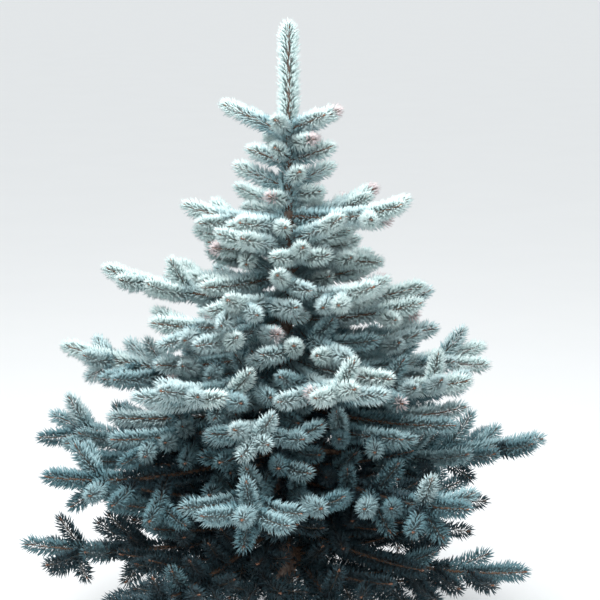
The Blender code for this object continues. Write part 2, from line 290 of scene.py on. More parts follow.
@dataclass(frozen=True, kw_only=True)
class Finish:
    """A surface whose colour goes between two tones in patches, over a fine relief.

    Patches, grain and depth are real sizes in millimetres.
    """

    name: str
    dark: str
    pale: str
    patch_mm: float
    grain_mm: float
    depth_mm: float
    roughness: float
    ior: float = 1.5
    sheen: float = 0.0
    patch_edges: tuple[float, float] = (0.36, 0.66)
    patch_detail: float = 3.0
    patch_roughness: float = 0.6
    grain_detail: float = 2.0
    relief_strength: float = 0.6

    def material(self) -> bpy.types.Material:
        """Builds the material.

        Returns:
            A Principled material with patches of two tones and a bump.
        """
        material = bpy.data.materials.new(self.name)
        material.use_nodes = True
        tree = material.node_tree
        shader = tree.nodes["Principled BSDF"]
        shader.inputs["Roughness"].default_value = self.roughness
        shader.inputs["IOR"].default_value = self.ior
        shader.inputs["Sheen Weight"].default_value = self.sheen
        place = add_node(tree, "ShaderNodeTexCoord").outputs["Object"]
        patches = add_node(
            tree,
            "ShaderNodeTexNoise",
            {
                "Scale": per_metre(self.patch_mm),
                "Detail": self.patch_detail,
                "Roughness": self.patch_roughness,
            },
            {"Vector": place},
        )
        ramp = add_node(tree, "ShaderNodeValToRGB", links={"Fac": patches.outputs["Fac"]})
        for element, edge, tone in zip(ramp.color_ramp.elements, self.patch_edges, (self.dark, self.pale)):
            element.position = edge
            element.color = linear(tone)
        grain = add_node(
            tree,
            "ShaderNodeTexNoise",
            {"Scale": per_metre(self.grain_mm), "Detail": self.grain_detail},
            {"Vector": place},
        )
        bump = add_node(
            tree,
            "ShaderNodeBump",
            {"Strength": self.relief_strength, "Distance": self.depth_mm * MM},
            {"Height": grain.outputs["Fac"]},
        )
        tree.links.new(ramp.outputs["Color"], shader.inputs["Base Color"])
        tree.links.new(bump.outputs["Normal"], shader.inputs["Normal"])
        return material


@dataclass(frozen=True, kw_only=True)
class WaxBloom(Finish):
    """The skin of a needle under its wax bloom.

    The lines of bloom are 0.2 mm apart, too fine to show, so the patches are drawn 4 mm long.
    """

    patch_mm: float = 4.0
    grain_mm: float = 0.8
    depth_mm: float = 0.1
    ior: float = 1.45


class Tone(Enum):
    """The tones of a spruce's foliage, each its wax finish: from new growth in the sun to old needles.

    Wax bloom on a living needle is a fine white powder over green: it gives the pale matt blue, and
    where it has worn off the needle is darker and a little glossier. The darker tones are painted shade
    as well: they go to shoots that see less sky, inside and low in the crown.
    """

    FROST = WaxBloom(name="frosted_wax_bloom", dark="#bdd6d6", pale="#e2f2f0", roughness=0.62, sheen=0.25)
    SILVER = WaxBloom(name="silver_wax_bloom", dark="#a3c0c4", pale="#cfe2e3", roughness=0.62, sheen=0.2)
    BLUE = WaxBloom(name="blue_wax_bloom", dark="#75989f", pale="#a6c4c9", roughness=0.6, sheen=0.15)
    # Worn bloom and old needles, darker still as painted shade for shoots inside and low in the crown
    TEAL = WaxBloom(name="worn_wax_bloom", dark="#446a73", pale="#6f949c", roughness=0.55, sheen=0.1)
    DEEP = WaxBloom(name="old_needle_skin", dark="#162c33", pale="#3a5a64", roughness=0.5, sheen=0.05)
    BLUSH = WaxBloom(name="blushed_wax_bloom", dark="#c9bcbf", pale="#e9dedd", roughness=0.62, sheen=0.25)


SLOT_OF_TONE = {
    Tone.FROST: "frosted_needles",
    Tone.SILVER: "frosted_needles",
    Tone.BLUSH: "frosted_needles",
    Tone.BLUE: "blue_needles",
    Tone.TEAL: "blue_needles",
    Tone.DEEP: "shaded_needles",
}

# Young bark is thin and grey brown between the pegs of its needles: a dark line along each twig
TWIG_BARK = Finish(
    name="young_spruce_bark", dark="#3f3b33", pale="#6b6053",
    patch_mm=3.0, grain_mm=0.9, depth_mm=0.3, roughness=0.8,
)
# A bough's bark is brown and dull, paler where its skin has dried and cracked
BOUGH_BARK = Finish(
    name="bough_bark", dark="#4f3c31", pale="#8c6f5a",
    patch_mm=5.0, grain_mm=1.2, depth_mm=0.5, roughness=0.85,
)
# A trunk's bark flakes in thin scales: grey brown, and redder where a scale has come off
TRUNK_BARK = Finish(
    name="scaly_spruce_bark", dark="#56392b", pale="#8e8076",
    patch_mm=9.0, grain_mm=1.4, depth_mm=0.6, roughness=0.88,
)
# Bud scales are papery and dry: chestnut with a pale edge
BUD_SCALES = Finish(
    name="papery_bud_scales", dark="#6d4234", pale="#b58d74",
    patch_mm=1.6, grain_mm=0.6, depth_mm=0.2, roughness=0.6, ior=1.45,
)
# A floor of board painted matt: it gives a soft pale ground and no reflection
FLOOR_PAINT = Finish(
    name="matt_floor_paint", dark="#e7e8e8", pale="#e8e9e9",
    patch_mm=400.0, grain_mm=30.0, depth_mm=0.05, roughness=0.9, ior=1.45,
)


@dataclass(frozen=True)
class Side:
    """A side on which twigs branch: its turn about the bough from the right, and how the twigs grow there.

    A twig opens by angle from the bough. It is as long as base and a share of the bough beyond it, at
    most longest.
    """

    turn: float
    angle: float
    base: float
    share_of_rest: float
    longest: float


@dataclass(frozen=True)
class Whorl:
    """Boughs that leave the trunk at one height, each as its azimuth, its reach and its rise in degrees.

    A bough rises by lift degrees more at its tip, and its first limb_share is bare wood. Coarse is how
    much larger its twigs and the gaps between them are than the upper whorls'.
    """

    name: str
    height: float
    lift: float
    limb_share: float
    coarse: float
    boughs: tuple[tuple[float, float, float], ...]


SIDES = (
    Side(turn=0, angle=50, base=0.038, share_of_rest=0.5, longest=0.15),
    Side(turn=180, angle=50, base=0.038, share_of_rest=0.5, longest=0.15),
    Side(turn=90, angle=46, base=0.052, share_of_rest=0.14, longest=0.09),
    Side(turn=270, angle=44, base=0.046, share_of_rest=0.12, longest=0.08),
)

WHORLS = (
    Whorl("whorl1", 0.932, lift=0, limb_share=0, coarse=1.0, boughs=(
        (170, 0.122, 24), (254, 0.088, 20), (313, 0.094, 20),
        (27, 0.104, 22), (95, 0.1, 22),
    )),
    Whorl("interwhorl1", 0.885, lift=4, limb_share=0, coarse=1.0, boughs=(
        (192, 0.078, 20), (333, 0.09, 18), (248, 0.07, 20),
        (92, 0.074, 20),
    )),
    Whorl("interwhorl2", 0.845, lift=4, limb_share=0, coarse=1.0, boughs=(
        (170, 0.1, 20), (30, 0.095, 16), (285, 0.08, 18),
    )),
    Whorl("whorl2", 0.785, lift=22, limb_share=0, coarse=1.0, boughs=(
        (178, 0.185, 2), (236, 0.15, -2), (318, 0.25, 2),
        (26, 0.175, 9), (104, 0.17, 8),
    )),
    Whorl("interwhorl3", 0.722, lift=8, limb_share=0, coarse=1.0, boughs=(
        (280, 0.15, 16), (146, 0.14, 12), (38, 0.15, 12),
    )),
    Whorl("whorl3", 0.655, lift=24, limb_share=0, coarse=1.0, boughs=(
        (184, 0.315, 2), (246, 0.235, 0), (306, 0.245, 2),
        (352, 0.24, -1), (60, 0.25, 4),
    )),
    Whorl("interwhorl4", 0.588, lift=22, limb_share=0, coarse=1.05, boughs=(
        (274, 0.2, 2), (0, 0.265, -6), (132, 0.17, 4),
    )),
    Whorl("whorl4", 0.525, lift=22, limb_share=0, coarse=1.15, boughs=(
        (178, 0.39, -1), (236, 0.35, -2), (290, 0.33, -2),
        (336, 0.34, -4), (24, 0.4, -8), (112, 0.36, 0),
    )),
    Whorl("whorl5", 0.385, lift=22, limb_share=0.2, coarse=1.3, boughs=(
        (160, 0.46, -5), (210, 0.45, -6), (262, 0.43, -8),
        (312, 0.44, -7), (2, 0.46, -7), (72, 0.44, -4),
    )),
    Whorl("whorl6", 0.24, lift=24, limb_share=0.22, coarse=1.36, boughs=(
        (132, 0.45, -11), (186, 0.46, -11), (236, 0.44, -13),
        (288, 0.43, -12), (336, 0.45, -11), (38, 0.45, -11),
    )),
)


@dataclass(frozen=True)
class Spine:
    """A line through evenly spaced points."""

    points: np.ndarray

    def at(self, shares: np.ndarray | float) -> np.ndarray:
        """Finds points on the line.

        Args:
            shares: How far along they lie, each as a share of the way.

        Returns:
            The points.
        """
        steps = np.arange(len(self.points))
        places = np.clip(shares, 0.0, 1.0) * (len(self.points) - 1)
        return np.stack([np.interp(places, steps, column) for column in self.points.T], axis=-1)

    def heading(self, shares: np.ndarray | float) -> np.ndarray:
        """Unit directions of travel at those shares."""
        half_step = 0.5 / (len(self.points) - 1)
        return unit(self.at(np.asarray(shares) + half_step) - self.at(np.asarray(shares) - half_step))

    def length(self) -> float:
        """The length along the line."""
        return float(np.linalg.norm(np.diff(self.points, axis=0), axis=1).sum())

    def part(self, first: float, last: float, count: int) -> "Spine":
        """The line between two shares of it, with that many points."""
        return Spine(self.at(np.linspace(first, last, count)))


@dataclass
class Shoot:
    """A twig: its spine, its order from the trunk, and how thick its wood is at the root and the tip.

    Needles stand on it beyond its bare length, longer by girth and coarser by coarse. Node names the
    solid that it grew from. A shoot without a tone of its own gets one by the sky that it sees.
    """

    spine: Spine
    order: int
    bare: float
    root_radius: float
    tip_radius: float
    node: str
    coarse: float = 1.0
    girth: float = 1.0
    tone: Tone | None = None


@dataclass(frozen=True)
class Bough:
    """A bough: its whorl and its place there, the solid that it counts with, its axis and its side twigs."""

    whorl: Whorl
    index: int
    node: str
    axis: Spine
    twigs: list[Ends]

    def reach(self) -> float:
        """How far it reaches from the trunk."""
        return self.whorl.boughs[self.index][1]


@dataclass
class Room:
    """The places that shoots hold, which new shoots keep apart from."""

    apart: float
    spacing: float
    places: np.ndarray = field(default_factory=lambda: np.zeros((MOST_PLACES, 3)))
    used: int = 0

    def take(self, spine: Spine) -> None:
        """Holds the places along a spine.

        Args:
            spine: The spine.
        """
        count = max(2, int(spine.length() / self.spacing) + 1)
        self.places[self.used : self.used + count] = spine.at(np.linspace(0, 1, count))
        self.used += count

    def has(self, spine: Spine, shares: tuple[float, ...]) -> bool:
        """True if nothing held is near the spine at those shares."""
        held = self.places[: self.used]
        return all(
            np.min(np.linalg.norm(held - point, axis=1)) > self.apart for point in spine.at(np.array(shares))
        )


@dataclass
class Growth:
    """The branching rule: boughs and side twigs as the solids have them, then finer twigs in between.

    Angles are in degrees.
    """

    # A bough's axis, and the twigs that the solids have along it
    axis_steps: int = 16
    bough_turn: float = 9.0
    stagger: float = 0.9
    lift_power: float = 1.5
    node_spacing: float = 0.078
    angle_spread: float = 6.0
    roll_spread: float = 20.0
    length_spread: float = 0.12
    spray_starts: float = 0.02
    # Shorter twigs half way between those
    between_share: float = 0.8
    between_last: float = 0.8
    # A brush's needles reach past its wood by this much, so the wood ends short of the solid's tip
    needle_tip_reach: float = 0.014
    shortest_wood: float = 0.5
    twig_points: int = 6
    bow: float = 0.05
    # Twigs of the second order, along each side twig: at every second node one stands on top as well
    finer_spacing: float = 0.05
    finer_angle: float = 50.0
    finer_angle_spread: float = 8.0
    finer_roll_spread: float = 30.0
    finer_turns: tuple[tuple[float, ...], ...] = ((0.0, 180.0, 90.0), (0.0, 180.0))
    finer_base: float = 0.036
    finer_share: float = 0.4
    finer_longest: float = 0.07
    finer_change: tuple[float, float] = (-0.2, 0.1)
    finer_start: float = 0.022
    finer_end: float = 0.034
    # How far out and how low a tip may be
    reach_margin: float = 0.01
    lowest_tip: float = 0.05
    # The leader, and the needles on the trunk below it
    leader_points: int = 8
    leader_bare: float = 0.002
    leader_radii: tuple[float, float] = (0.0034, 0.0018)
    leader_girth: float = 1.12
    trunk_needle_heights: tuple[float, ...] = (0.8, 0.85, 0.9, LEADER_FOOT)
    trunk_places: int = 60
    # Short twigs that grow straight out of the trunk between the upper whorls
    trunk_twig_heights: tuple[float, ...] = (0.912, 0.868, 0.825)
    trunk_twigs_round: int = 8
    trunk_twig_turn: float = 14.0
    trunk_twig_rises: tuple[float, float] = (2.0, 24.0)
    trunk_twig_stagger: float = 0.008
    trunk_twig_reach: float = 0.075
    trunk_twig_sizes: tuple[float, float] = (0.8, 1.15)
    trunk_twig_match: float = 0.35
    # Shorter boughs between the whorls, inside the crown
    inner_heights: tuple[float, ...] = (
        0.75, 0.69, 0.625, 0.56, 0.495, 0.465, 0.435, 0.355, 0.325, 0.295, 0.265, 0.205, 0.17
    )
    inner_boughs_round: int = 9
    inner_attempts: int = 4
    inner_turn: float = 22.0
    inner_reaches: tuple[float, float] = (0.5, 0.88)
    inner_rises: tuple[float, float] = (-8.0, 14.0)
    inner_stagger: float = 0.012
    inner_lift: float = 16.0
    inner_limb_share: float = 0.12
    inner_tested: tuple[float, ...] = (0.4, 0.55, 0.7, 0.85, 1.0)
    inner_match: tuple[float, float] = (0.5, 0.6)
    crown_slope: float = 0.6
    crown_reach: float = 0.42
    # The wood of boughs and twigs
    bough_points: int = 17
    bough_root_radius: float = 0.0012
    bough_radius_by_reach: float = 0.0098
    bough_tip_radius: float = 0.001
    bare_past_trunk: float = 0.006
    twig_root_radii: tuple[float, float, float] = (0.0, 0.0012, 0.001)
    twig_tip_radius: float = 0.0008
    twig_bare: float = 0.003
    twig_tested: tuple[float, ...] = (0.75, 1.0)
    twig_held_from: float = 0.3
    # Boughs too short for side twigs
    unbranched_reach: float = 0.13
    room: Room = field(default_factory=lambda: Room(apart=0.031, spacing=0.009))
    shoots: list[Shoot] = field(default_factory=list)

    def axis(self, whorl: Whorl, index: int, seeded: random.Random) -> Spine:
        """Draws a bough's own axis, from the middle of the trunk to its tip.

        Args:
            whorl: The bough's whorl.
            index: The bough's place in the whorl.
            seeded: The bough's source of chance.

        Returns:
            The axis as the solids have it, with the boughs of a whorl on three levels.
        """
        azimuth, reach, rise = whorl.boughs[index]
        turn = seeded.uniform(-self.bough_turn, self.bough_turn)
        points = [np.zeros(3)]
        for step in range(self.axis_steps):
            share = (step + 0.5) / self.axis_steps
            lifted = rise + whorl.lift * share**self.lift_power
            points.append(points[-1] + heading_of(azimuth + turn * (share - 0.5), lifted))
        scale = reach / math.hypot(*points[-1][:2])
        lowered = self.stagger * trunk_radius(whorl.height) * (index % 3 - 1)
        return Spine(trunk_centre(whorl.height + lowered) + scale * np.array(points))

    def nodes_on(self, whorl: Whorl, axis: Spine) -> int:
        """How many nodes with twigs a bough has."""
        return round(axis.length() / (self.node_spacing * whorl.coarse))

    def twig_at(
        self, axis: Spine, share: float, side: Side, whorl: Whorl, size: float, seeded: random.Random
    ) -> Ends:
        """Branches one side twig from a bough.

        Args:
            axis: The bough's axis.
            share: Where on it the twig branches.
            side: The side that it grows on.
            whorl: The bough's whorl.
            size: Its length as a share of the rule's.
            seeded: The source of chance.

        Returns:
            The twig's root and its tip.
        """
        turned = side.turn + seeded.uniform(-self.roll_spread, self.roll_spread)
        opened = side.angle + seeded.uniform(-self.angle_spread, self.angle_spread)
        rest = (1 - share) * axis.length()
        reach = min(side.base * whorl.coarse + side.share_of_rest * rest, side.longest * whorl.coarse)
        reach *= size * (1 + seeded.uniform(-self.length_spread, self.length_spread))
        root = axis.at(share)
        return root, root + reach * branching(axis.heading(share), turned, opened)

    def side_twigs(self, whorl: Whorl, axis: Spine, seeded: random.Random) -> Iterator[Ends]:
        """Branches the twigs that the solids have.

        Args:
            whorl: The bough's whorl.
            axis: The bough's axis.
            seeded: The bough's source of chance.

        Returns:
            Each twig's root and tip, one twig after the other.
        """
        nodes = self.nodes_on(whorl, axis)
        for node in range(nodes - 1, 0, -1):
            for side in SIDES:
                twig = self.twig_at(axis, node / nodes, side, whorl, 1.0, seeded)
                if node / nodes > whorl.limb_share + self.spray_starts:
                    yield twig

    def twigs_between(self, whorl: Whorl, axis: Spine, seeded: random.Random) -> Iterator[Ends]:
        """Branches shorter twigs half way between those.

        Args:
            whorl: The bough's whorl.
            axis: The bough's axis.
            seeded: A source of chance of its own.

        Returns:
            Each twig's root and tip, one twig after the other.
        """
        nodes = self.nodes_on(whorl, axis)
        for node in range(nodes - 1, -1, -1):
            share = (node + 0.5) / nodes
            for side in SIDES:
                twig = self.twig_at(axis, share, side, whorl, self.between_share, seeded)
                if whorl.limb_share + self.spray_starts < share < self.between_last:
                    yield twig

    def finer_twigs(self, parent: Shoot, seeded: random.Random) -> Iterator[Ends]:
        """Branches the twigs of the second order from a side twig.

        Args:
            parent: The side twig.
            seeded: The source of chance.

        Returns:
            Each twig's root and tip, one twig after the other.
        """
        length = parent.spine.length()
        count = int((length - self.finer_start) / self.finer_spacing)
        for node in range(count, -1, -1):
            along = self.finer_start + node * self.finer_spacing
            if along > length - self.finer_end:
                continue
            root, heading = parent.spine.at(along / length), parent.spine.heading(along / length)
            for turn in self.finer_turns[node % 2]:
                turned = turn + seeded.uniform(-self.finer_roll_spread, self.finer_roll_spread)
                opened = self.finer_angle + seeded.uniform(-self.finer_angle_spread, self.finer_angle_spread)
                reach = min(self.finer_base + self.finer_share * (length - along), self.finer_longest)
                reach *= 1 + seeded.uniform(*self.finer_change)
                yield root, root + (reach + self.needle_tip_reach) * branching(heading, turned, opened)

    def bowed(self, root: np.ndarray, tip: np.ndarray) -> Spine:
        """Draws a twig that sags in its middle and lifts to its tip.

        Args:
            root: Where it branches.
            tip: Where its needles end.

        Returns:
            Its spine, short of the tip by its needles' reach.
        """
        length = np.linalg.norm(tip - root)
        end = root + (tip - root) * max(self.shortest_wood, 1 - self.needle_tip_reach / length)
        shares = np.linspace(0, 1, self.twig_points)[:, None]
        # Four times a share and its rest is one in the middle and nothing at the ends
        return Spine(root + shares * (end - root) - 4 * self.bow * length * shares * (1 - shares) * UP)

    def grow(self) -> list[Shoot]:
        """Grows the whole tree.

        Returns:
            Every shoot: the leader, the boughs, the side twigs and the finer twigs, in that order.
        """
        self.grow_leader()
        boughs = self.whorled_boughs()
        boughs += self.inner_boughs(boughs)
        branched = [bough for bough in boughs if bough.reach() > self.unbranched_reach]
        sides = []
        for bough in branched:
            for root, tip in bough.twigs:
                sides += self.add(root, tip, 1, bough)
        for bough in branched:
            seeded = random.Random(f"{bough.whorl.name}-{bough.index}-between")
            for root, tip in self.twigs_between(bough.whorl, bough.axis, seeded):
                sides += self.add(root, tip, 1, bough)
        sides += self.trunk_twigs(branched)
        bough_of_node = {bough.node: bough for bough in branched}
        for number, side in enumerate(sides):
            seeded = random.Random(f"{side.node}-{number}-finer")
            for root, tip in self.finer_twigs(side, seeded):
                self.add(root, tip, 2, bough_of_node[side.node])
        return self.shoots

    def grow_leader(self) -> None:
        """Grows the leader and the needles on the trunk below it, and holds the trunk's places."""
        heights = np.linspace(LEADER_FOOT, HEIGHT - self.needle_tip_reach, self.leader_points)
        leader = Spine(np.array([trunk_centre(height) for height in heights]))
        trunk = [trunk_centre(height) for height in np.linspace(0, HEIGHT, self.trunk_places)]
        self.room.take(Spine(np.array(trunk)))
        grown = {"girth": self.leader_girth, "tone": Tone.FROST}
        self.shoots.append(Shoot(leader, 0, self.leader_bare, *self.leader_radii, "leader_spray", **grown))
        below = Spine(np.array([trunk_centre(height) for height in self.trunk_needle_heights]))
        radii = [trunk_radius(self.trunk_needle_heights[end]) for end in (0, -1)]
        self.shoots.append(Shoot(below, 0, 0.0, *radii, "leader_spray", tone=Tone.BLUE))

    def whorled_boughs(self) -> list[Bough]:
        """Grows the boughs that the solids have.

        Returns:
            The boughs, whorl by whorl from the top.
        """
        made = []
        for whorl in WHORLS:
            for index in range(len(whorl.boughs)):
                seeded = random.Random(f"{whorl.name}-{index}")
                axis = self.axis(whorl, index, seeded)
                twigs = list(self.side_twigs(whorl, axis, seeded))
                made.append(Bough(whorl, index, f"{whorl.name}_spray{index + 1}", axis, twigs))
                self.add_axis(made[-1])
        return made

    def inner_whorl(self, level: int, place: float, seeded: random.Random) -> Whorl:
        """Chooses one inner bough.

        Args:
            level: Which of the inner heights it grows at.
            place: The azimuth that it grows near.
            seeded: The level's source of chance.

        Returns:
            A whorl of that one bough.
        """
        height = self.inner_heights[level]
        radius = min(self.crown_slope * (HEIGHT - height), self.crown_reach)
        azimuth = place + seeded.uniform(-self.inner_turn, self.inner_turn)
        bough = (azimuth, radius * seeded.uniform(*self.inner_reaches), seeded.uniform(*self.inner_rises))
        at = height + seeded.uniform(-self.inner_stagger, self.inner_stagger)
        return Whorl(f"inner{level}", at, self.inner_lift, self.inner_limb_share, 1.0, (bough,))

    def inner_boughs(self, boughs: list[Bough]) -> list[Bough]:
        """Grows shorter boughs between the whorls, where the crown has room.

        Args:
            boughs: The whorls' own boughs.

        Returns:
            The new boughs, each counted with the own bough nearest to it.
        """
        made = []
        own_share, share = self.inner_match
        for level in range(len(self.inner_heights)):
            seeded = random.Random(f"inner-{level}")
            for number in range(self.inner_boughs_round):
                place = placed_round(number, level, self.inner_boughs_round)
                for _ in range(self.inner_attempts):
                    whorl = self.inner_whorl(level, place, seeded)
                    axis = self.axis(whorl, 0, seeded)
                    if self.room.has(axis, self.inner_tested):
                        node = self.nearest(boughs, own_share, axis.at(share)).node
                        twigs = list(self.side_twigs(whorl, axis, seeded))
                        made.append(Bough(whorl, 0, node, axis, twigs))
                        self.add_axis(made[-1])
                        break
        return made

    def nearest(self, boughs: list[Bough], share: float, point: np.ndarray) -> Bough:
        """The bough that passes nearest to a point at that share of its axis."""
        return min(boughs, key=lambda bough: np.linalg.norm(bough.axis.at(share) - point))

    def add_axis(self, bough: Bough) -> None:
        """Adds the shoot along a bough's axis, which ends short of its tip by its needles' reach.

        Args:
            bough: The bough.
        """
        whorl, length = bough.whorl, bough.axis.length()
        spine = bough.axis.part(0, 1 - self.needle_tip_reach / length, self.bough_points)
        bare = max(whorl.limb_share * length, trunk_radius(whorl.height) + self.bare_past_trunk)
        wood = self.bough_root_radius + self.bough_radius_by_reach * bough.reach()
        self.shoots.append(Shoot(spine, 0, bare, wood, self.bough_tip_radius, bough.node, whorl.coarse))
        self.room.take(spine)

    def trunk_twigs(self, boughs: list[Bough]) -> list[Shoot]:
        """Grows the short twigs of the trunk.

        Args:
            boughs: The boughs.

        Returns:
            The twigs, each counted with the bough nearest to it.
        """
        made = []
        for level, height in enumerate(self.trunk_twig_heights):
            seeded = random.Random(f"trunk-{level}")
            for number in range(self.trunk_twigs_round):
                azimuth = placed_round(number, level, self.trunk_twigs_round)
                azimuth += seeded.uniform(-self.trunk_twig_turn, self.trunk_twig_turn)
                heading = heading_of(azimuth, seeded.uniform(*self.trunk_twig_rises))
                stagger = seeded.uniform(-self.trunk_twig_stagger, self.trunk_twig_stagger)
                root = trunk_centre(height + stagger)
                tip = root + self.trunk_twig_reach * seeded.uniform(*self.trunk_twig_sizes) * heading
                made += self.add(root, tip, 1, self.nearest(boughs, self.trunk_twig_match, tip))
        return made

    def inside(self, tip: np.ndarray, reach: float) -> bool:
        """True if a tip lies within a bough's reach and above the ground."""
        return math.hypot(*tip[:2]) < reach + self.reach_margin and tip[2] > self.lowest_tip

    def add(self, root: np.ndarray, tip: np.ndarray, order: int, bough: Bough) -> list[Shoot]:
        """Adds a twig where it has room.

        Args:
            root: Where it branches.
            tip: Where its needles end.
            order: Its order from the trunk.
            bough: The bough that it counts with.

        Returns:
            The twig in a list, or an empty list.
        """
        spine = self.bowed(root, tip)
        if not self.inside(tip, bough.reach()) or not self.room.has(spine, self.twig_tested):
            return []
        self.room.take(spine.part(self.twig_held_from, 1.0, self.twig_points))
        radii = self.twig_root_radii[order], self.twig_tip_radius
        shoot = Shoot(spine, order, self.twig_bare, *radii, bough.node, bough.whorl.coarse)
        self.shoots.append(shoot)
        return [shoot]


@dataclass
class Foliage:
    """The needles: how they stand on a shoot, and the tone that each shoot gets."""

    needle_length: float = 0.0192
    needle_width: float = 0.0018
    needle_depth: float = 0.0011
    # Needles a metre, from shaded shoots to those that see enough sky
    sparsest: float = 1100.0
    densest: float = 4000.0
    dense_from: float = 0.6
    density_power: float = 1.5
    fewest: int = 3
    # How needles lean out of the shoot, in degrees, and how much shorter they are at its ends
    side_lean: float = 70.0
    tip_lean: float = 16.0
    lean_power: float = 0.7
    lean_spread: float = 9.0
    turn_spread: float = 0.25
    tip_zone: float = 0.014
    root_zone: float = 0.016
    root_sizes: tuple[float, float] = (0.68, 0.32)
    tip_sizes: tuple[float, float] = (0.74, 0.26)
    size_spread: tuple[float, float] = (0.86, 1.08)
    coarse_growth: float = 0.5
    coarse_length: float = 0.3
    # A needle's own form: it is rooted in the wood, bends forward and is widest at its belly
    rooted: float = 0.7
    curve: float = 0.07
    tip_curve: float = 1.2
    lift: float = 0.08
    belly: float = 0.55
    # A few of the shoots that see enough sky have blushed needles round the bud
    blush_share: float = 0.07
    blush_from: float = 0.5
    blush_zone: float = 0.012
    # The sky that a shoot sees, by its height and by how near it is to the rim of the crown
    sky_by_height: float = 0.85
    sky_by_rim: float = 0.18
    sky_spread: float = 0.06
    crown_reach: float = 0.46
    crown_taper: float = 1.28
    crown_top: float = 1.06
    rim_margin: float = 0.02
    past_rim: float = 1.1
    # The tones from the most shaded shoots up, and the sky at which each next one starts
    ladder: tuple[Tone, ...] = (Tone.DEEP, Tone.TEAL, Tone.BLUE, Tone.SILVER, Tone.FROST)
    steps: tuple[float, ...] = (0.34, 0.45, 0.53, 0.6)
    # By a shoot's order: up to each share of its length it is so many tones darker: painted shade towards
    # the crown's inside, where the needles are older too
    shading: tuple[tuple[tuple[float, int], ...], ...] = (
        ((0.4, 2), (0.7, 1), (1.0, 0)),
        ((0.35, 1), (1.0, 0)),
        ((1.0, 0),),
    )
    needle_seed: int = 7859
    tone_seed: str = "tones"

    def exposure(self, shoot: Shoot) -> float:
        """Finds how much sky a shoot sees.

        Args:
            shoot: The shoot.

        Returns:
            From 0 inside the crown to about 1 at its top and its rim.
        """
        tip = shoot.spine.points[-1]
        height = tip[2] / HEIGHT
        rim = self.crown_reach * min(1.0, self.crown_taper * (self.crown_top - height)) + self.rim_margin
        outward = min(math.hypot(*tip[:2]) / rim, self.past_rim)
        return self.sky_by_height * height + self.sky_by_rim * outward

    def tones(self, shoot: Shoot, chance: random.Random) -> list[tuple[float, Tone]]:
        """Deals a shoot its tones, darker the less sky it sees: painted shade.

        Args:
            shoot: The shoot.
            chance: The source of chance.

        Returns:
            The share of its length that each tone reaches to, from the root on.
        """
        if shoot.tone:
            return [(1.0, shoot.tone)]
        sky = self.exposure(shoot) + chance.uniform(-self.sky_spread, self.sky_spread)
        rung = sum(sky > step for step in self.steps)
        return [(end, self.ladder[max(rung - darker, 0)]) for end, darker in self.shading[shoot.order]]

    def shared_out(
        self, tones: list[tuple[float, Tone]], shares: np.ndarray, blushed: np.ndarray | None
    ) -> dict[Tone, np.ndarray]:
        """Shares a shoot's needles out to its tones.

        Args:
            tones: The tones, with the share that each reaches to.
            shares: Where each needle stands.
            blushed: Which needles are blushed, or None where the shoot has none.

        Returns:
            Which needles have each tone.
        """
        made: dict[Tone, np.ndarray] = {}
        start = 0.0
        for end, tone in tones:
            last = math.inf if end == 1 else end
            made[tone] = made.get(tone, False) | (shares >= start) & (shares < last)
            start = end
        if blushed is not None:
            made = {tone: held & ~blushed for tone, held in made.items()}
            made[Tone.BLUSH] = blushed
        return made

    def density(self, shoot: Shoot) -> float:
        """Finds how many needles a shoot has.

        Args:
            shoot: The shoot.

        Returns:
            Needles a metre: fewer in the shade, where a tree sheds them, and fewer where they are coarse.
        """
        seen = min(self.exposure(shoot) / self.dense_from, 1.0) ** self.density_power
        density = self.sparsest + (self.densest - self.sparsest) * seen
        return density / (1 + self.coarse_growth * (shoot.coarse - 1))

    def needles(
        self, shoot: Shoot, tones: list[tuple[float, Tone]], blushed: bool, chance: np.random.Generator
    ) -> dict[Tone, np.ndarray]:
        """Stands needles on one shoot.

        Args:
            shoot: The shoot.
            tones: Its tones, with the share that each reaches to.
            blushed: Whether the needles round its bud are blushed.
            chance: The source of chance.

        Returns:
            The needles' points by tone, four to a needle: a root, two corners at the belly, and a tip.
        """
        length = shoot.spine.length()
        count = int((length - shoot.bare) * self.density(shoot))
        if count < self.fewest:
            return {}
        order = np.arange(count)
        along = shoot.bare + (length - shoot.bare) * (order + 0.5) / count
        shares = along / length
        heading = shoot.spine.heading(shares)
        right, above = across(heading)
        turn = order * GOLDEN_ANGLE + chance.uniform(0, math.tau)
        turn = turn + chance.uniform(-self.turn_spread, self.turn_spread, count)
        radial = np.cos(turn)[:, None] * right + np.sin(turn)[:, None] * above
        from_tip = np.clip((length - along) / self.tip_zone, 0, 1)
        from_root = np.clip((along - shoot.bare) / self.root_zone, 0, 1)
        lean = self.tip_lean + (self.side_lean - self.tip_lean) * from_tip**self.lean_power
        lean = np.radians(lean + chance.uniform(-self.lean_spread, self.lean_spread, count))[:, None]
        straight = np.cos(lean) * heading + np.sin(lean) * radial
        straight = unit(straight + self.lift * UP)
        size = self.needle_length * shoot.girth
        size = size * (1 + self.coarse_growth * self.coarse_length * (shoot.coarse - 1))
        size = size * (self.root_sizes[0] + self.root_sizes[1] * from_root)
        size = size * (self.tip_sizes[0] + self.tip_sizes[1] * from_tip)
        size = (size * chance.uniform(*self.size_spread, count))[:, None]
        wood = shoot.root_radius + (shoot.tip_radius - shoot.root_radius) * shares
        root = shoot.spine.at(shares) + self.rooted * wood[:, None] * radial
        first = unit(np.cross(straight, heading))
        second = np.cross(straight, first)
        middle = root + self.belly * size * (straight - self.curve * heading)
        tip = root + size * (straight + self.tip_curve * self.curve * heading)
        grown = 1 + self.coarse_growth * (shoot.coarse - 1)
        aside = self.needle_width / 2 * grown * first
        keel = middle + self.needle_depth * grown * second
        points = np.stack([root, keel - aside, keel + aside, tip], axis=1)
        crowned = length - along < self.blush_zone if blushed else None
        return {tone: points[held] for tone, held in self.shared_out(tones, shares, crowned).items()}

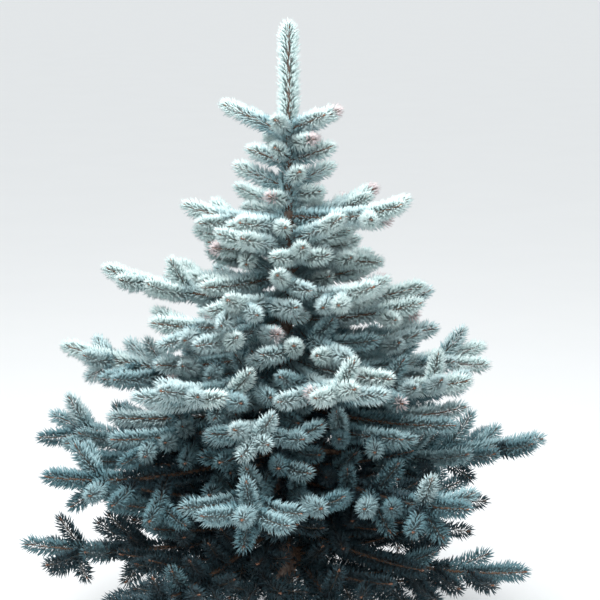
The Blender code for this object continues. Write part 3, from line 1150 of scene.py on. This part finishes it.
    def build(self, shoots: list[Shoot]) -> list[bpy.types.Object]:
        """Builds the needles of the whole tree, joined tone by tone.

        Args:
            shoots: Every shoot.

        Returns:
            The pieces, each under the limit of faces, standing for the sprays that they dress.
        """
        chance = np.random.default_rng(self.needle_seed)
        dealt = random.Random(self.tone_seed)
        gathered: dict[Tone, list[tuple[str, np.ndarray]]] = {tone: [] for tone in Tone}
        for shoot in shoots:
            tones = self.tones(shoot, dealt)
            blushed = dealt.random() < self.blush_share and self.exposure(shoot) > self.blush_from
            for tone, points in self.needles(shoot, tones, blushed, chance).items():
                gathered[tone].append((shoot.node, points))
        pieces = []
        for tone, sprays in gathered.items():
            finish = tone.value.material()
            for number, batch in enumerate(self.batches(sprays)):
                name = f"needles_{tone.name.lower()}_{number + 1}"
                surface = self.surface(np.concatenate([points for _, points in batch]))
                piece = mesh_piece(name, surface, finish, SLOT_OF_TONE[tone])
                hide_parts(*sorted({node for node, _ in batch}))
                pieces.append(piece)
        return pieces

    def batches(self, sprays: list[tuple[str, np.ndarray]]) -> Iterator[list[tuple[str, np.ndarray]]]:
        """Groups sprays for the pieces.

        Args:
            sprays: Each spray's node and its needles' points.

        Returns:
            The sprays in groups, each under the limit of faces, one group after the other.
        """
        batch: list[tuple[str, np.ndarray]] = []
        held = 0
        for node, points in sprays:
            if held + len(points) * NEEDLE_FACES > FACES_IN_A_PIECE:
                yield batch
                batch, held = [], 0
            batch.append((node, points))
            held += len(points) * NEEDLE_FACES
        if held:
            yield batch

    def surface(self, needles: np.ndarray) -> Surface:
        """Skins needles, each a slim pyramid on its four points.

        Args:
            needles: Their points, four to a needle.

        Returns:
            One surface, with every needle's faces outward.
        """
        starts = np.arange(len(needles))[:, None, None] * NEEDLE_POINTS
        pattern = np.array([[0, 1, 2], [0, 3, 1], [0, 2, 3], [3, 2, 1]])
        return Surface(needles.reshape(-1, 3), (starts + pattern).reshape(-1, 3))


def tube(spine: Spine, radii: np.ndarray, columns: int, relief: np.ndarray | float = 0.0) -> Surface:
    """Draws a closed tube along a spine.

    Args:
        spine: The line that it follows.
        radii: Its radius at each ring.
        columns: The points round a ring.
        relief: How far each point stands out beyond the radius, by ring and column.

    Returns:
        The tube's surface.
    """
    shares = np.linspace(0, 1, len(radii))
    right, above = across(spine.heading(shares))
    turn = math.tau * np.arange(columns) / columns
    reach = radii[:, None] + relief
    outward = np.cos(turn)[None, :, None] * above[:, None] + np.sin(turn)[None, :, None] * right[:, None]
    return wrapped(spine.at(shares)[:, None] + reach[..., None] * outward)


@dataclass
class Twigs:
    """The thin wood of side twigs and finer twigs."""

    columns: int = 5
    rings: int = 5

    def build(self, shoots: list[Shoot]) -> bpy.types.Object:
        """Builds them as one piece.

        Args:
            shoots: Every shoot.

        Returns:
            The piece.
        """
        tubes = [
            tube(shoot.spine, np.linspace(shoot.root_radius, shoot.tip_radius, self.rings), self.columns)
            for shoot in shoots
            if shoot.order
        ]
        return mesh_piece("twigs", joined(tubes), TWIG_BARK.material(), "bark")


@dataclass
class Buds:
    """The buds at the tips of the shoots: a large one, and two smaller beside it on the stronger shoots."""

    length: float = 0.006
    radius: float = 0.0019
    sizes: tuple[float, float, float] = (1.15, 1.0, 0.85)
    seat: float = 0.0015
    side_size: float = 0.72
    side_seat: float = 0.003
    side_angle: float = 50.0
    side_orders: tuple[int, ...] = (0, 1)
    columns: int = 5
    profile: tuple[float, ...] = (0.6, 1.0, 0.86, 0.34)

    def bud(self, foot: np.ndarray, heading: np.ndarray, size: float) -> Surface:
        """One bud, an egg with a pointed end."""
        spine = Spine(np.array([foot + self.length * size * share * heading for share in (0, 0.5, 1)]))
        return tube(spine, self.radius * size * np.array(self.profile), self.columns)

    def build(self, shoots: list[Shoot]) -> bpy.types.Object:
        """Builds all the buds as one piece.

        Args:
            shoots: Every shoot.

        Returns:
            The piece.
        """
        buds = []
        opened = math.radians(self.side_angle)
        for shoot in shoots:
            tip, heading = shoot.spine.points[-1], shoot.spine.heading(1.0)
            size = self.sizes[shoot.order]
            buds.append(self.bud(tip - self.seat * heading, heading, size))
            if shoot.order in self.side_orders:
                right, _ = across(heading)
                for way in (-1, 1):
                    aside = unit(math.cos(opened) * heading + way * math.sin(opened) * right)
                    buds.append(self.bud(tip - self.side_seat * heading, aside, size * self.side_size))
        return mesh_piece("buds", joined(buds), BUD_SCALES.material(), "bark")


@dataclass
class Bark:
    """Relief for bark: scales that overlap, each domed, with cracks between them."""

    seed: str
    wide_mm: float
    tall_mm: float
    depth_mm: float
    # A crack's width as a share of a scale, and how high the scales stand and the cracks lie
    crack_width: float = 0.22
    lowest_scale: float = 0.55
    scale_spread: float = 0.45
    crack_depth: float = 0.6
    fewest_round: int = 4
    fewest_rows: int = 3
    far: float = 9.0

    def relief(self, turn: np.ndarray, height: np.ndarray, radius: float) -> np.ndarray:
        """Finds how far the bark stands out.

        Args:
            turn: Angles about the wood's middle.
            height: Lengths along the wood, of the same shape.
            radius: The wood's mean radius.

        Returns:
            The relief in metres, of the same shape.
        """
        chance = random.Random(self.seed)
        columns = max(self.fewest_round, round(math.tau * radius / (self.wide_mm * MM)))
        rows = max(self.fewest_rows, int(height.max() / (self.tall_mm * MM)) + 2)
        # A scale to each cell of a grid: where in its cell its middle is, and how high it stands
        scales = np.array(
            [[[chance.random() for _ in range(3)] for _ in range(columns)] for _ in range(rows)]
        )
        around = turn / math.tau * columns
        along = height / (self.tall_mm * MM)
        near = np.full(turn.shape, self.far)
        second = np.full(turn.shape, self.far)
        lift = np.zeros(turn.shape)
        column, row = np.floor(around).astype(int), np.floor(along).astype(int)
        for step_y in (-1, 0, 1):
            for step_x in (-1, 0, 1):
                x, y = column + step_x, row + step_y
                scale = scales[np.clip(y, 0, rows - 1), x % columns]
                distance = np.hypot(around - x - scale[..., 0], along - y - scale[..., 1])
                closer = distance < near
                second = np.where(closer, near, np.minimum(second, distance))
                lift = np.where(closer, scale[..., 2], lift)
                near = np.where(closer, distance, near)
        dome = np.clip((second - near) / self.crack_width, 0, 1)
        stands = dome * (self.lowest_scale + self.scale_spread * lift) - self.crack_depth
        return self.depth_mm * MM * stands


@dataclass
class Trunk:
    """The trunk in its bark, with its root flare, cut flat at ground level."""

    columns: int = 64
    row_height: float = 0.0034
    # The wood ends under the top bud
    top_gap: float = 0.012
    # The root toes: how far out, how high and how thick, from the ground up
    toes: int = 5
    toe_top: float = 0.085
    toe_rooted: float = 0.35
    toe_knee_height: float = 0.3
    toe_knee_spread: float = 0.4
    toe_spread: float = 0.052
    toe_spread_change: float = 0.12
    toe_turn_change: float = 20.0
    toe_radii: tuple[float, float, float] = (0.0065, 0.0105, 0.0085)
    toe_sink: float = 0.006
    toe_fade: float = 0.012
    toe_relief: float = 0.7
    toe_blends: int = 2
    # The bark is full on old thick wood and lies smoother above, where the wood is young
    bark: Bark = field(default_factory=lambda: Bark("trunk", 8.0, 12.0, 1.1))
    bark_radius: float = 0.014
    smooth_above: float = 0.9
    smooth_over: float = 0.5
    smoothest: float = 0.25
    thick_radius: float = 0.012
    thinnest_relief: float = 0.2

    def flare(self, turn: np.ndarray, height: np.ndarray) -> np.ndarray:
        """Finds how far the root toes reach.

        Args:
            turn: Angles about the trunk.
            height: Heights above the ground, of the same shape.

        Returns:
            The furthest reach of any toe from the trunk's middle, of the same shape.
        """
        chance = random.Random("toes")
        furthest = np.zeros(turn.shape)
        levels = [-self.toe_sink, self.toe_knee_height * self.toe_top, self.toe_top]
        radius = np.interp(height, levels, self.toe_radii)
        radius = radius * np.clip((self.toe_top + self.toe_fade - height) / self.toe_fade, 0, 1)
        for toe in range(self.toes):
            aside = chance.uniform(-self.toe_turn_change, self.toe_turn_change)
            spread = self.toe_spread * (1 + chance.uniform(-self.toe_spread_change, self.toe_spread_change))
            distances = [spread, self.toe_knee_spread * spread, self.toe_rooted * trunk_radius(self.toe_top)]
            centre = np.interp(height, levels, distances)
            away = turn - math.radians(360 * toe / self.toes + aside)
            sideways = centre * np.sin(away)
            hit = (np.abs(sideways) < radius) & (np.cos(away) > 0)
            far = centre * np.cos(away) + np.sqrt(np.maximum(radius**2 - sideways**2, 0))
            furthest = np.maximum(furthest, np.where(hit, far, 0))
        return furthest

    def reach(self, turns: np.ndarray, levels: np.ndarray) -> np.ndarray:
        """Finds how far the trunk's skin stands from its middle.

        Args:
            turns: Angles about the trunk, by ring and column.
            levels: Heights above the ground, of the same shape.

        Returns:
            The distances, of the same shape.
        """
        wood = np.array([trunk_radius(height) for height in levels[:, 0]])[:, None]
        scales = self.bark.relief(turns, levels, self.bark_radius)
        rough = np.clip((self.smooth_above - levels) / self.smooth_over, self.smoothest, 1.0)
        reach = wood + rough * scales * np.clip(wood / self.thick_radius, self.thinnest_relief, 1)
        toes = self.flare(turns, levels)
        reach = np.where(toes > 0, np.maximum(reach, toes + scales * self.toe_relief), reach)
        for _ in range(self.toe_blends):
            blended = (np.roll(reach, 1, 1) + np.roll(reach, -1, 1) + 2 * reach) / 4
            reach = np.where(levels < self.toe_top, blended, reach)
        return reach

    def build(self) -> bpy.types.Object:
        """Builds the trunk in the place of its solid.

        Returns:
            The piece.
        """
        top = HEIGHT - self.top_gap
        heights = np.linspace(0, top, int(top / self.row_height))
        turns, levels = np.meshgrid(math.tau * np.arange(self.columns) / self.columns, heights)
        centres = np.array([trunk_centre(height) for height in heights])
        outward = np.stack([np.cos(turns), np.sin(turns), np.zeros_like(turns)], axis=-1)
        surface = wrapped(centres[:, None] + self.reach(turns, levels)[..., None] * outward)
        piece = mesh_piece("trunk_bark", surface, TRUNK_BARK.material(), "bark")
        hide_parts("trunk")
        return piece


@dataclass
class Boughs:
    """The wood of the boughs, each one tapering limb from the trunk to its tip."""

    columns: int = 9
    ring_spacing: float = 0.005
    bark: Bark = field(default_factory=lambda: Bark("boughs", 3.2, 6.0, 0.5))
    bark_radius: float = 0.004
    thinnest_relief: float = 0.2

    def limb(self, shoot: Shoot) -> Surface:
        """Builds one limb in its bark.

        Args:
            shoot: The shoot along the bough.

        Returns:
            The limb's surface.
        """
        length = shoot.spine.length()
        rings = int(length / self.ring_spacing)
        radii = np.linspace(shoot.root_radius, shoot.tip_radius, rings)
        turn = math.tau * np.arange(self.columns) / self.columns
        turns, along = np.meshgrid(turn, np.linspace(0, length, rings))
        thin = np.clip(radii / self.bark_radius, self.thinnest_relief, 1)[:, None]
        relief = self.bark.relief(turns, along, self.bark_radius) * thin
        return tube(shoot.spine, radii, self.columns, relief)

    def build(self, shoots: list[Shoot]) -> bpy.types.Object:
        """Builds all the limbs as one piece, in the place of their solids.

        Args:
            shoots: Every shoot.

        Returns:
            The piece.
        """
        limbs = [self.limb(shoot) for shoot in shoots if not shoot.order and shoot.node != "leader_spray"]
        piece = mesh_piece("boughs", joined(limbs), BOUGH_BARK.material(), "bark")
        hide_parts(*sorted(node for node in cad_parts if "_bough" in node))
        return piece


@dataclass(frozen=True)
class Softbox:
    """A square soft lamp: its place, its side in metres and its power in watts."""

    name: str
    place: tuple[float, float, float]
    side: float
    power: float


SOFTBOXES = (
    Softbox("overhead_softbox", (-0.35, -0.75, 2.5), side=1.6, power=60.0),
    Softbox("front_softbox", (1.2, -2.8, 2.2), side=1.4, power=14.0),
)


@dataclass
class Studio:
    """The floor, the soft light and the camera of the picture."""

    distance: float = 2.8
    elevation: float = 12.0
    aim: tuple[float, float, float] = (0.0255, 0.0, 0.647)
    focal_pixels: float = 1647.0
    picture_pixels: float = 600.0
    sensor_mm: float = 36.0
    lamps_aim: tuple[float, float, float] = (0.0, 0.0, 0.7)
    floor_side: float = 400.0
    sky: str = "#f4f7f9"
    zenith: float = 1.25
    # The horizon is as bright as the paint of a far floor under this sky, so that no line shows there
    horizon: float = 0.84
    view_transform: str = "Standard"

    def set_camera(self) -> None:
        """Sets the camera at the picture's viewing angle."""
        data = bpy.data.cameras.new("camera")
        data.sensor_width = self.sensor_mm
        data.lens = self.focal_pixels / self.picture_pixels * self.sensor_mm
        camera = bpy.data.objects.new("camera", data)
        bpy.context.scene.collection.objects.link(camera)
        tilt = math.radians(self.elevation)
        back = Vector((0.0, -math.cos(tilt), math.sin(tilt)))
        camera.location = Vector(self.aim) + self.distance * back
        camera.rotation_euler = (-back).to_track_quat("-Z", "Y").to_euler()
        bpy.context.scene.camera = camera

    def hang(self, softbox: Softbox) -> None:
        """Hangs a soft lamp that shines at the crown.

        Args:
            softbox: The lamp.
        """
        data = bpy.data.lights.new(softbox.name, "AREA")
        data.shape = "SQUARE"
        data.size = softbox.side
        data.energy = softbox.power
        lamp = bpy.data.objects.new(softbox.name, data)
        bpy.context.scene.collection.objects.link(lamp)
        lamp.location = softbox.place
        lamp.visible_camera = False
        way = Vector(self.lamps_aim) - Vector(softbox.place)
        lamp.rotation_euler = way.to_track_quat("-Z", "Y").to_euler()

    def lay_floor(self) -> None:
        """Lays the floor."""
        mesh = bpy.data.meshes.new("floor")
        half = self.floor_side / 2
        corners = [(-half, -half, 0), (half, -half, 0), (half, half, 0), (-half, half, 0)]
        mesh.from_pydata(corners, [], [(0, 1, 2, 3)])
        mesh.materials.append(FLOOR_PAINT.material())
        floor = bpy.data.objects.new("floor", mesh)
        bpy.context.scene.collection.objects.link(floor)

    def light_sky(self) -> None:
        """Lights the studio from all round, brighter overhead than at the horizon."""
        world = bpy.data.worlds.new("studio")
        world.use_nodes = True
        tree = world.node_tree
        place = add_node(tree, "ShaderNodeTexCoord").outputs["Generated"]
        height = add_node(tree, "ShaderNodeSeparateXYZ", links={"Vector": place}).outputs["Z"]
        square = add_node(tree, "ShaderNodeMath", operation="MULTIPLY")
        for factor in square.inputs[:2]:
            tree.links.new(height, factor)
        strength = add_node(
            tree,
            "ShaderNodeMapRange",
            {"To Min": self.horizon, "To Max": self.zenith},
            {"Value": square.outputs["Value"]},
        )
        background = tree.nodes["Background"]
        background.inputs["Color"].default_value = linear(self.sky)
        tree.links.new(strength.outputs["Result"], background.inputs["Strength"])
        bpy.context.scene.world = world

    def build(self) -> None:
        """Lays the floor, lights the sky, hangs the lamps and sets the camera."""
        bpy.context.scene.view_settings.view_transform = self.view_transform
        self.lay_floor()
        self.light_sky()
        for softbox in SOFTBOXES:
            self.hang(softbox)
        self.set_camera()


def main() -> None:
    """Builds the tree and its studio."""
    logging.basicConfig(level=logging.INFO, format="%(message)s")
    shoots = Growth().grow()
    LOG.info("shoots: %d, %.1f m", len(shoots), sum(shoot.spine.length() for shoot in shoots))
    Trunk().build()
    Boughs().build(shoots)
    Twigs().build(shoots)
    Buds().build(shoots)
    Foliage().build(shoots)
    Studio().build()


if __name__ == "__main__":
    main()
